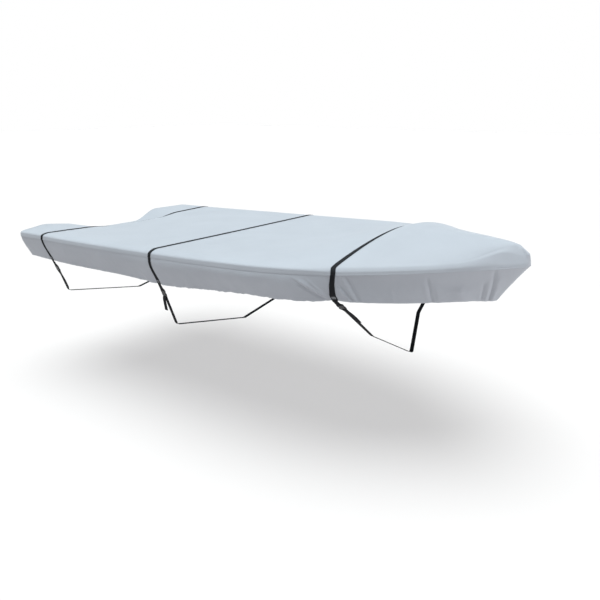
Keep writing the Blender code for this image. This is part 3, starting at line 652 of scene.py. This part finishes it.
def crease_push(creases, station, down):
    """How far the creases push a skirt out."""
    push = np.zeros(np.broadcast(station, down).shape)
    for crease in creases:
        centre = crease.head + (crease.foot - crease.head) * down
        d = station - centre
        d = np.where(d < 0, d / crease.aft, d / crease.fore)
        begin = smooth(crease.start, crease.start + CREASE_BEGIN, down)
        stop = 1 - smooth(crease.end - CREASE_STOP, crease.end, down)
        push += crease.depth * np.exp(-(np.abs(d) ** CREASE_POWER)) * begin * stop
    amid = there_and_back(RUFFLE_RANGE, station)
    wave = np.sin(2 * math.pi * station / RUFFLE_PITCH)
    push += RUFFLE_SIZE * amid * wave * smooth(RUFFLE_TOP, 1.0, down)
    return push


def bulge_share(bulge, down):
    """A bulge is fullest a third of the way down, and a hollow half way, where this is 1."""
    return np.where(bulge > 0, 27 / 4 * down * (1 - down) ** 2, 4 * down * (1 - down))


def skirt_rows(rim, creases, seed, pull=1.0):
    """A skirt from its upper edge, behind the top panel, down to the hem. pull is how much of its
    draw the third strap has on the hem."""
    seam = rim.edge - SEAM_DROP
    distance = rim.offset - SEAM_TUCK - (CLOTH + GAP)
    head = rim_points(rim, distance, seam)
    height = float(np.linalg.norm(head - rim.hem, axis=1).mean())
    starboard = (rim.hem[:, 1] < 0) * 1.0
    sides = 1 - blunt(rim)
    bulge = np.interp(rim.station, *zip(*BULGES))
    ruffled = there_and_back(HEM_RUFFLED, rim.station)
    curl = -HEM_CURL * (1 + HEM_RUFFLED_CURL * ruffled) * sides
    stand = HEM_STAND * (1 + HEM_RUFFLED_STAND * ruffled) * sides
    drawn_in = HEM_PULL * starboard
    drawn_in = drawn_in * np.exp(-(((rim.station - STRAP_X[2]) / HEM_PULL_WIDTH) ** 2))
    rows = [rim_points(rim, distance, seam + LAP)]
    hem_top = 1 - HEM_BAND / height
    even = np.linspace(0, 1, SKIRT_ROWS - 1 - len(HEM_ROWS))
    for down in np.sort(np.concatenate([even, hem_top + np.array(HEM_ROWS)])):
        point = head + (rim.hem - head) * down
        free = strap_hold(rim.station, starboard * down)
        push = crease_push(creases, rim.station, down)
        for wave, start, end in SKIRT_WAVES:
            uneven = waves(rim.station, down * SKIRT_WAVE_HEIGHT, seed + wave.seed, wave.pitch)
            push += wave.height * smooth(start, end, down) * uneven
        ripple = waves(rim.station, 0.0, seed + HEM_RIPPLE.seed, HEM_RIPPLE.pitch)
        push += HEM_RIPPLE.height * smooth(HEM_RIPPLE_TOP, 1.0, down) * ripple
        push += curl * max(down - hem_top, 0) / (1 - hem_top)
        push -= STITCH_DEPTH * math.exp(-(((down - hem_top) * height / STITCH_WIDTH) ** 2))
        push += stand * down
        push *= free
        push += bulge * bulge_share(bulge, down)
        push += HEM_STEP * smooth(hem_top - HEM_STEP_BLEND, hem_top + HEM_STEP_BLEND, down)
        low = np.clip((down - HEM_PULL_TOP) / (1 - HEM_PULL_TOP), 0, 1)
        push -= pull * drawn_in * low**HEM_PULL_POWER
        point[:, :2] += rim.out * push[:, None]
        rows.append(point)
    first, second = HEM_WAVES
    rise = waves(rim.station, 0.0, seed + first.seed, first.pitch, 2)
    rise = first.height * rise + second.height * waves(
        rim.station, 0.0, seed + second.seed, second.pitch
    )
    rise = HEM_WAVE * free * (HEM_WAVE_STILL + (1 - HEM_WAVE_STILL) * ruffled) * rise
    rows[-1][:, 2] += rise
    rows[-2][:, 2] += 0.5 * rise
    return np.stack(rows, 1)


def grid_faces(rows, columns, closed=False):
    """Quads of a grid of points, rows by columns, numbered row by row."""
    last = rows if closed else rows - 1
    i, j = np.meshgrid(np.arange(last), np.arange(columns - 1), indexing="ij")
    i, j = i.ravel(), j.ravel()
    k = (i + 1) % rows
    return np.stack([i * columns + j, i * columns + j + 1, k * columns + j + 1, k * columns + j], 1)


def add_object(name, data):
    made = bpy.data.objects.new(name, data)
    bpy.context.scene.collection.objects.link(made)
    return made


def mark_cut_edges(data):
    """Keeps the cloth's cut edges crisp."""
    mesh = bmesh.new()
    mesh.from_mesh(data)
    for edge in mesh.edges:
        edge.smooth = not edge.is_boundary
    mesh.to_mesh(data)
    mesh.free()


def piece(name, points, faces, uv=None):
    """A smooth-shaded object of points and faces, riding on the part's body. Without a uv for each
    point, its points that lie together are welded."""
    data = bpy.data.meshes.new(name)
    data.from_pydata(placed(points).tolist(), [], faces)
    if uv is not None:
        layer = data.uv_layers.new(name="UVMap")
        corners = np.array([loop.vertex_index for loop in data.loops])
        layer.data.foreach_set("uv", uv.astype(np.float32)[corners].ravel())
    mesh = bmesh.new()
    mesh.from_mesh(data)
    if uv is None:
        bmesh.ops.remove_doubles(mesh, verts=mesh.verts, dist=WELD)
        bmesh.ops.dissolve_degenerate(mesh, edges=mesh.edges, dist=WELD)
    bmesh.ops.recalc_face_normals(mesh, faces=mesh.faces)
    mesh.to_mesh(data)
    mesh.free()
    data.shade_smooth()
    mark_cut_edges(data)
    made = add_object(name, data)
    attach(made, "root")
    return made


def cloth_sheet(name, points, faces, inside):
    """A sheet of the cover's cloth, its faces turned away from a point on its hollow side."""
    made = piece(name, points, faces.tolist())
    inside = Vector(placed(inside))
    facing = sum(p.normal.dot(p.center - inside) * p.area for p in made.data.polygons)
    if facing < 0:
        made.data.flip_normals()
    shell = made.modifiers.new("thickness", "SOLIDIFY")
    shell.thickness = CLOTH
    shell.offset = -1
    shell.use_even_offset = False
    return made


def panel_sheet(name, rows, inside):
    return cloth_sheet(name, rows.reshape(-1, 3), grid_faces(*rows.shape[:2]), inside)


def side_places(step):
    return np.linspace(ROLL, NOSE_X, int(round((NOSE_X - ROLL) / step)) + 1)


def whole_rim(stations):
    return joined(
        side_rim(stations, -1),
        nose_rim(),
        side_rim(stations[::-1], 1),
        corner_rim(1),
        stern_rim(np.linspace(1, -1, ACROSS + 1)),
        backwards(corner_rim(-1)),
    )


def build_top(name, stations):
    share = np.linspace(-1, 1, ACROSS + 1)
    port = side_rim(stations, 1)
    inner_x, inner_y = port.inner[:, 0], port.inner[:, 1]
    pull = np.clip((inner_x - SPINE_PULL_START) / (TIP_X - SPINE_PULL_START), 0, None)
    spine = inner_x - SPINE_PULL * pull**3
    x = spine[:, None] + (inner_x - spine)[:, None] * np.abs(share)
    y = inner_y[:, None] * share
    lift = top_relief(x, y) * (1 - smooth(TOP_STILL_EDGE, 1.0, np.abs(share)))
    ribs = np.stack([x, y, top_height(x, y) + lift], 2)
    strip = edge_rows(whole_rim(stations))
    faces = grid_faces(*ribs.shape[:2])
    ring = grid_faces(*strip.shape[:2], closed=True) + ribs.shape[0] * ribs.shape[1]
    points = np.concatenate([ribs.reshape(-1, 3), strip.reshape(-1, 3)])
    return cloth_sheet(name, points, np.concatenate([faces, ring]), UNDER_TOP)


def build_skirt(name, side, stations, creases):
    corner = part_of(corner_rim(side), 0, CORNER_FAN // 2)
    nose = nose_rim() if side < 0 else backwards(nose_rim())
    rim = joined(backwards(corner), side_rim(stations, side), part_of(nose, 0, NOSE_FAN))
    rows = skirt_rows(rim, creases, SKIRT_SEED * side)
    rows[0] += np.array([1, side, 0]) * PANEL_END_GAP * DIAGONAL
    rows[-1] += np.array([0, side, 0]) * PANEL_END_GAP
    return panel_sheet(name, rows, UNDER_EDGE)


def build_stern(name):
    port = part_of(corner_rim(1), CORNER_FAN // 2 - 1, None)
    starboard = part_of(corner_rim(-1), CORNER_FAN // 2 - 1, None)
    rim = joined(port, stern_rim(np.linspace(1, -1, ACROSS + 1)), backwards(starboard))
    rows = skirt_rows(rim, (), STERN_SEED)
    rows[0] += np.array([-1, -1, 0]) * PANEL_END_GAP * DIAGONAL
    rows[-1] += np.array([-1, 1, 0]) * PANEL_END_GAP * DIAGONAL
    return panel_sheet(name, rows, UNDER_STERN)


def surface_line(x, side, pull=0.0):
    """The cover's outer face at a strap's edge, from the hem up to the centre line."""
    rim = side_rim(x, side)
    skirt = skirt_rows(rim, (), 0.0, pull)[0, 1:][::-1]
    edge = edge_rows(rim)[0][:-2]  # its last rows lie together where there is no facet
    inner_x, inner_y = rim.inner[0]
    y = inner_y * np.linspace(1, 0, ACROSS // 2 + 1)[1:]
    x = np.full(len(y), inner_x)
    return np.concatenate([skirt, edge, np.stack([x, y, top_height(x, y)], 1)])


def unit(vector):
    return vector / np.linalg.norm(vector, axis=-1, keepdims=True)


def lengths_along(line):
    """The length of a line up to each of its points."""
    return np.concatenate([[0], np.cumsum(np.linalg.norm(np.diff(line, axis=0), axis=1))])


# The end of a strap at a hem: its two edge points, their middle, and the ways down, across and out.
StrapEnd = namedtuple("StrapEnd", "pair middle down across out")


def strap_end(pairs, run):
    hem, above = pairs[0], pairs[1]
    pair = hem + unit(hem.sum(0) - above.sum(0)) * HEM_CLEARANCE
    middle = pair.mean(0)
    side = math.copysign(1, middle[1])
    down = unit(np.array([middle[0], side * run.turn_y, run.turn_z]) - middle)
    wide = pair[1] - pair[0]
    across = unit(wide - down * down.dot(wide))
    out = np.cross(across, down)
    if out[1] * side < 0:
        out = -out
    return StrapEnd(pair, middle, down, across, out)


def end_pair(end, down, out):
    """The webbing's two edge points some way down and out from a strap's end."""
    middle = end.middle + end.down * down + end.out * out
    half = end.across * STRAP_WIDTH / 2
    return np.stack([middle - half, middle + half])


def half_turn(end, drop, way):
    """The webbing round a buckle's bar, under it from its outer side inward with a way of 1, and
    over it from its inner side outward with -1."""
    pairs = []
    for k in range(BAR_STEPS + 1):
        turn = math.pi * (k / BAR_STEPS)
        down = drop + way * BAR_TURN * math.sin(turn)
        pairs.append(end_pair(end, down, -BAR_TURN * (1 - way * math.cos(turn))))
    return pairs


def ribbon(name, pairs, outside, hem=None):
    """Webbing of a rounded flat section along pairs of edge points. outside is the outward way at
    the first pair, and lengths count from the pair at the hem."""
    middle = pairs.mean(1)
    along = unit(np.gradient(middle, axis=0))
    across = unit(pairs[:, 1] - pairs[:, 0])
    out = unit(np.cross(across, along))
    if out[0].dot(outside) < 0:
        out = -out
    width = np.linalg.norm(pairs[:, 1] - pairs[:, 0], axis=1)
    rows = []
    for share, inset, rise in WEBBING_SECTION:
        wide = width * share + WEBBING_EDGE * inset
        rows.append(middle + across * wide[:, None] + out * (WEBBING * rise))
    points = np.stack(rows, 1)
    count, sides = points.shape[:2]
    length = lengths_along(middle)
    length = length + PAST_STITCHES if hem is None else length - length[hem]
    uv = np.tile([section[0] + 0.5 for section in WEBBING_SECTION], count)
    uv = np.stack([uv, np.repeat(length, sides)], 1)
    faces = []
    for i in range(0, (count - 1) * sides, sides):
        for j in range(sides):
            k = (j + 1) % sides
            faces.append((i + j, i + k, i + sides + k, i + sides + j))
    faces += [tuple(range(sides)), tuple(range((count - 1) * sides, count * sides))]
    return piece(name, points.reshape(-1, 3), faces, uv)


def resampled(pairs, step):
    """A strip's pairs, with more at even steps along it."""
    pairs = np.asarray(pairs)
    length = lengths_along(pairs.mean(1))
    keep = np.concatenate([[True], np.diff(length) > 1e-6])
    length, pairs = length[keep], pairs[keep]
    even = np.linspace(0, length[-1], max(int(length[-1] / step), 2))
    places = np.unique(np.concatenate([even, length]))
    flat = pairs.reshape(len(pairs), 6)
    return np.stack([np.interp(places, length, flat[:, k]) for k in range(6)], 1).reshape(-1, 2, 3)


def rounded_run(points):
    """A line through points, with an arc at each inner one."""
    path = [points[0]]
    for before, corner, after in zip(points, points[1:], points[2:]):
        one, two = unit(before - corner), unit(after - corner)
        half = math.acos(np.clip(one.dot(two), -1, 1)) / 2
        reach = TURN_RADIUS / math.tan(half)
        centre = corner + unit(one + two) * (TURN_RADIUS / math.sin(half))
        start, end = corner + one * reach, corner + two * reach
        for k in range(TURN_STEPS + 1):
            chord = start + (end - start) * k / TURN_STEPS
            path.append(centre + unit(chord - centre) * TURN_RADIUS)
    path.append(points[-1])
    return path


def gathered(pairs):
    """The webbing is widest where it is sewn double, near each hem, and draws in at each bend."""
    middle = pairs.mean(1)
    length = lengths_along(middle)
    from_hem = np.minimum(length, length[-1] - length)
    double = (1 - smooth(*DOUBLE_END, from_hem)) * smooth(0.0, DOUBLE_START, from_hem)
    narrow = np.exp(-(((from_hem - NARROW_PLACE) / NARROW_REACH) ** 2))
    width = 1 + DOUBLE_WIDENING * double - NARROWING * narrow
    return middle[:, None] + (pairs - middle[:, None]) * width[:, None, None]


def strap_over(x, bow):
    """A strap's edge points over the cover, from the starboard hem to the port one, and how far
    each moves where the strap draws the hem in and bows."""
    edges, drawn = [], []
    for side in (-1, 1):
        place = x + side * STRAP_WIDTH / 2
        starboard, port = surface_line(place, -1), surface_line(place, 1)
        edges.append(np.concatenate([starboard, port[::-1][1:]]))
        share = np.clip(1 - np.arange(len(starboard)) / SKIRT_ROWS, 0, 1)
        bowed = np.interp(share, *zip(*BOW_SHAPE))[:, None]
        shift = (surface_line(place - bow, -1, 1.0) - starboard) * bowed
        shift = shift + (surface_line(place, -1, 1.0) - starboard) * (1 - bowed)
        drawn.append(np.concatenate([shift, np.zeros_like(port[1:])]))
    return np.stack(edges, 1), np.stack(drawn, 1)


def strap_under(starboard, port, run):
    """The webbing under the hull: from the lap on the port end to the buckle's lower bar, round it,
    and down to the end of the loose tail."""
    low = BAR_DROP + BAR_SPACING
    lap = end_pair(port, PORT_LAP_END + SQUARE_DROP, -GAP)
    below_bar = end_pair(starboard, low + SQUARE_DROP, -2 * BAR_TURN)
    edges = []
    for first, last in zip(lap, below_bar):
        turns = [np.array([first[0], side * run.turn_y, run.turn_z]) for side in (1, -1)]
        bottom = np.array([first[0] + run.bottom_shift, 0, run.bottom_z])
        edges.append(rounded_run([first, turns[0], bottom, turns[1], last]))
    pairs = [end_pair(port, PORT_LAP_START, -GAP)]
    pairs += [np.stack(pair) for pair in zip(*edges)]
    pairs += half_turn(starboard, low, -1)
    for k in range(1, TAIL_STEPS + 1):
        share = k / TAIL_STEPS
        move = starboard.down * (run.tail * share) + starboard.out * (run.tail_lift * share**2)
        sideways = run.tail_shift * math.sin(math.pi * share**TAIL_POWER / 2)
        pairs.append(end_pair(starboard, low, 0.0) + (move + np.array([sideways, 0, 0])))
    return resampled(pairs, BELLY_STEP)


def build_strap(number):
    """A strap's webbing over the cover and under the hull."""
    run = STRAP_RUNS[number - 1]
    pairs, drawn = strap_over(STRAP_X[number - 1], STRAP_BOW[number - 1])
    along = unit(np.gradient(pairs.mean(1), axis=0))
    out = unit(np.cross(pairs[:, 1] - pairs[:, 0], along))
    if out[len(out) // 2][2] < 0:
        out = -out
    pairs = pairs + out[:, None, :] * GAP
    starboard, port = strap_end(pairs, run), strap_end(pairs[::-1], run)
    pairs = gathered(pairs + drawn)

    def hung(drop, out):
        pair = starboard.pair if drop == 0 else end_pair(starboard, drop, out)
        return pair + drawn[0] * max(1 - drop / (BAR_DROP - BOW_FADE), 0)

    back = [hung(BAR_DROP - rise, -GAP) for rise in SEWN_RISES]
    front = [hung(drop, 0.0) for drop in FRONT_DROPS]
    start = back[::-1] + half_turn(starboard, BAR_DROP, 1)[::-1] + front
    finish = [port.pair, end_pair(port, SQUARE_DROP, 0.0), end_pair(port, PORT_LAP_END, 0.0)]
    over = np.concatenate([start, pairs, finish])
    top = ribbon(f"webbing_{number}_top", over, -starboard.out, len(start))
    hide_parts(f"strap_{number}_top")
    under = strap_under(starboard, port, run)
    bottom = ribbon(f"webbing_{number}_belly", under, -port.out)
    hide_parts(f"strap_{number}_belly")
    return top, bottom


def set_values(made, **values):
    """Sets a node's properties, and its inputs by name, with _ for a space."""
    for key, value in values.items():
        if hasattr(made, key):
            setattr(made, key, value)
        else:
            made.inputs[key.replace("_", " ")].default_value = value


def node(tree, kind, **values):
    made = tree.nodes.new(kind)
    set_values(made, **values)
    return made


def figure(tree, operation, value, limit=None):
    """A Math node's output for a socket and, where it takes one, a number or a second socket."""
    made = node(tree, "ShaderNodeMath", operation=operation)
    tree.links.new(value, made.inputs[0])
    if isinstance(limit, float):
        made.inputs[1].default_value = limit
    elif limit is not None:
        tree.links.new(limit, made.inputs[1])
    return made.outputs[0]


def colour_ramp(tree, value, low, high, start=0.0, end=1.0):
    """A colour for a socket, low up to start and high from end on."""
    made = node(tree, "ShaderNodeValToRGB")
    first, last = made.color_ramp.elements
    first.position, first.color = start, (*low, 1)
    last.position, last.color = end, (*high, 1)
    tree.links.new(value, made.inputs["Fac"])
    return made.outputs["Color"]


def bump(tree, shader, height, strength, distance):
    made = node(tree, "ShaderNodeBump", Strength=strength, Distance=distance)
    tree.links.new(height, made.inputs["Height"])
    tree.links.new(made.outputs["Normal"], shader.inputs["Normal"])


def new_material(name, **values):
    """A material with its shader's inputs set by name."""
    made = bpy.data.materials.new(name)
    made.use_nodes = True
    shader = made.node_tree.nodes["Principled BSDF"]
    set_values(shader, **values)
    return made, made.node_tree, shader


def cloth_material():
    """Silver-grey coated polyester with a fine weave and faint clouding."""
    made, tree, shader = new_material(
        "cover_cloth",
        Roughness=0.55,
        Specular_IOR_Level=0.06,
        Sheen_Weight=0.12,
        Sheen_Roughness=0.5,
    )
    link = tree.links.new
    place = node(tree, "ShaderNodeTexCoord").outputs["Object"]
    clouds = node(tree, "ShaderNodeTexNoise", Scale=3.0, Detail=4.0, Roughness=0.55)
    link(place, clouds.inputs["Vector"])
    colour = colour_ramp(tree, clouds.outputs["Fac"], CLOTH_DARK, CLOTH_LIGHT, 0.3, 0.7)
    link(colour, shader.inputs["Base Color"])
    threads = []
    for way in "XY":
        wave = node(tree, "ShaderNodeTexWave", wave_type="BANDS", bands_direction=way, Scale=160.0)
        link(place, wave.inputs["Vector"])
        threads.append(wave.outputs["Fac"])
    bump(tree, shader, figure(tree, "MULTIPLY", *threads), strength=0.10, distance=0.0006)
    return made


def webbing_material():
    """Black woven webbing: ribs across it, a tight weave and rows of stitching."""
    made, tree, shader = new_material("strap_webbing", Roughness=0.8, Specular_IOR_Level=0.2)
    link = tree.links.new
    split = node(tree, "ShaderNodeSeparateXYZ")
    link(node(tree, "ShaderNodeTexCoord").outputs["UV"], split.inputs[0])
    wide, along = split.outputs["X"], split.outputs["Y"]
    ribs = figure(tree, "SINE", figure(tree, "MULTIPLY", along, 2 * math.pi / RIB_PITCH))
    cords = figure(tree, "SINE", figure(tree, "MULTIPLY", wide, 2 * math.pi * CORDS))
    weave = figure(tree, "MULTIPLY", ribs, cords)
    shade = node(tree, "ShaderNodeMapRange", From_Min=-1.0)
    link(weave, shade.inputs["Value"])
    colour = colour_ramp(tree, shade.outputs["Result"], WEBBING_DARK, WEBBING_LIGHT)
    # Light rows of stitching just above the hem, short of the webbing's edges.
    row = figure(tree, "LESS_THAN", figure(tree, "FLOORED_MODULO", along, TACK_PITCH), TACK_WIDTH)
    for kind, value, limit in (
        ("GREATER_THAN", along, TACK_START),
        ("LESS_THAN", along, TACK_START + TACK_ROWS * TACK_PITCH),
        ("GREATER_THAN", wide, TACK_INSET),
        ("LESS_THAN", wide, 1 - TACK_INSET),
    ):
        row = figure(tree, "MULTIPLY", row, figure(tree, kind, value, limit))
    # Its inputs 0, 6 and 7 are the share and the two colours, and its output 2 the mixed colour.
    mix = node(tree, "ShaderNodeMix", data_type="RGBA")
    link(row, mix.inputs[0])
    link(colour, mix.inputs[6])
    mix.inputs[7].default_value = (*TACK_COLOUR, 1)
    link(mix.outputs[2], shader.inputs["Base Color"])
    bump(tree, shader, weave, strength=0.5, distance=0.0004)
    return made


def plastic_material():
    """Black moulded plastic with a fine spark-eroded grain."""
    made, tree, shader = new_material("strap_buckle")
    link = tree.links.new
    texture = node(tree, "ShaderNodeTexNoise", Scale=900.0, Detail=2.0)
    link(node(tree, "ShaderNodeTexCoord").outputs["Object"], texture.inputs["Vector"])
    grain = texture.outputs["Fac"]
    link(colour_ramp(tree, grain, PLASTIC_DARK, PLASTIC_LIGHT), shader.inputs["Base Color"])
    rough = node(tree, "ShaderNodeMapRange", To_Min=0.34, To_Max=0.48)
    link(grain, rough.inputs["Value"])
    link(rough.outputs["Result"], shader.inputs["Roughness"])
    bump(tree, shader, grain, strength=0.25, distance=0.0002)
    return made


def dress(made, material):
    made.data.materials.clear()
    made.data.materials.append(material)


def add_light(name, kind, energy, colour, way):
    data = bpy.data.lights.new(name, kind)
    data.energy = energy
    data.color = colour
    made = add_object(name, data)
    made.rotation_euler = Vector(way).to_track_quat("-Z", "Y").to_euler()
    return made


def lay_floor():
    bpy.ops.mesh.primitive_plane_add(size=FLOOR_SIZE, location=(0, 0, FLOOR_HEIGHT - MOUNT_Z))
    floor = bpy.context.object
    floor.name = "floor"
    material, _, _ = new_material(
        "floor",
        Base_Color=(0.29, 0.27, 0.267, 1),
        Emission_Color=(1.0, 1.0, 1.0, 1),
        Emission_Strength=0.50,
        Roughness=0.9,
        Specular_IOR_Level=0.1,
    )
    dress(floor, material)


def light_studio():
    """White at the horizon and grey above, with broad light from overhead and a lamp at the bow."""
    bpy.context.scene.view_settings.view_transform = "Standard"
    world = bpy.data.worlds.new("studio")
    bpy.context.scene.world = world
    world.use_nodes = True
    tree = world.node_tree
    split = node(tree, "ShaderNodeSeparateXYZ")
    tree.links.new(node(tree, "ShaderNodeTexCoord").outputs["Generated"], split.inputs[0])
    colour = colour_ramp(tree, split.outputs["Z"], (1.0, 1.0, 1.0), WORLD_COLOUR, *HORIZON)
    back = tree.nodes["Background"]
    tree.links.new(colour, back.inputs["Color"])
    back.inputs["Strength"].default_value = 1.0
    sun = add_light("overhead", "SUN", SUN_STRENGTH, SUN_COLOUR, SUN_WAY)
    sun.data.angle = math.radians(SUN_SPREAD)
    lamp = add_light("bow_light", "AREA", LAMP_POWER, LAMP_COLOUR, -Vector(LAMP_PLACE))
    lamp.location = LAMP_PLACE
    lamp.visible_camera = False
    lamp.data.shape = "DISK"
    lamp.data.size = LAMP_SIZE


def photo_camera():
    data = bpy.data.cameras.new("camera")
    data.sensor_width = SENSOR
    data.lens = SENSOR * CAMERA_FOCAL / PICTURE
    made = add_object("camera", data)
    made.location = placed(CAMERA_PLACE)
    made.rotation_euler = (math.radians(90 - CAMERA_TILT), 0, math.radians(CAMERA_TURN))
    bpy.context.scene.camera = made


photo_camera()
lay_floor()
light_studio()
cloth, webbing, plastic = cloth_material(), webbing_material(), plastic_material()
places = side_places(SKIRT_STEP)
top = build_top("cloth_top", side_places(TOP_STEP))
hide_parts("top_panel")
starboard = build_skirt("cloth_starboard", -1, places, STARBOARD_CREASES)
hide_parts("skirt_starboard")
port = build_skirt("cloth_port", 1, places, PORT_CREASES)
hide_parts("skirt_port")
stern = build_stern("cloth_stern")
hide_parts("stern_panel")
for made in (top, starboard, port, stern):
    dress(made, cloth)
for number in (1, 2, 3):
    for made in build_strap(number):
        dress(made, webbing)
    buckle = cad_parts[f"buckle_{number}"]
    dress(buckle, plastic)
    bevel = buckle.modifiers.new("edges", "BEVEL")
    bevel.width = BUCKLE_BEVEL
    bevel.segments = 2
    bevel.limit_method = "ANGLE"
